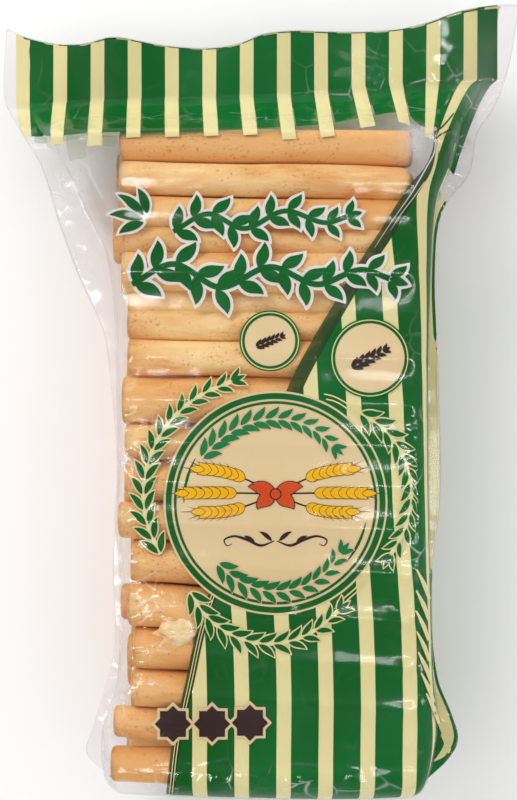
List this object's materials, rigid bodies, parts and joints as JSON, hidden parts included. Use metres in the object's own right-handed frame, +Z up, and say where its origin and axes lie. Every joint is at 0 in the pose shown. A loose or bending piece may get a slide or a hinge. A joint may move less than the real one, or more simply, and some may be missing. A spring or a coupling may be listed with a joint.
{
  "type": "bag of breadsticks",
  "caption": "Sealed clear film bag of breadsticks stacked crosswise, with a flat header, side fins and a striped print; lies on its back.",
  "frame": {"origin": "middle of the bag's back, on the surface it lies on", "axes": "+Z up out of the printed face, +Y from the bottom seam to the header, +X along the breadsticks"},
  "size_m": [0.19, 0.2864, 0.0592],
  "materials": {
    "printed_film": "clear glossy film with green and cream print over golden breadsticks",
    "breadstick": "matte baked crust, golden, stands in for bread",
    "green_ink": "dark green ink under the film",
    "cream_ink": "cream ink under the film"
  },
  "bodies": {
    "root": {"bag": "printed_film"}
  },
  "joints": []
}
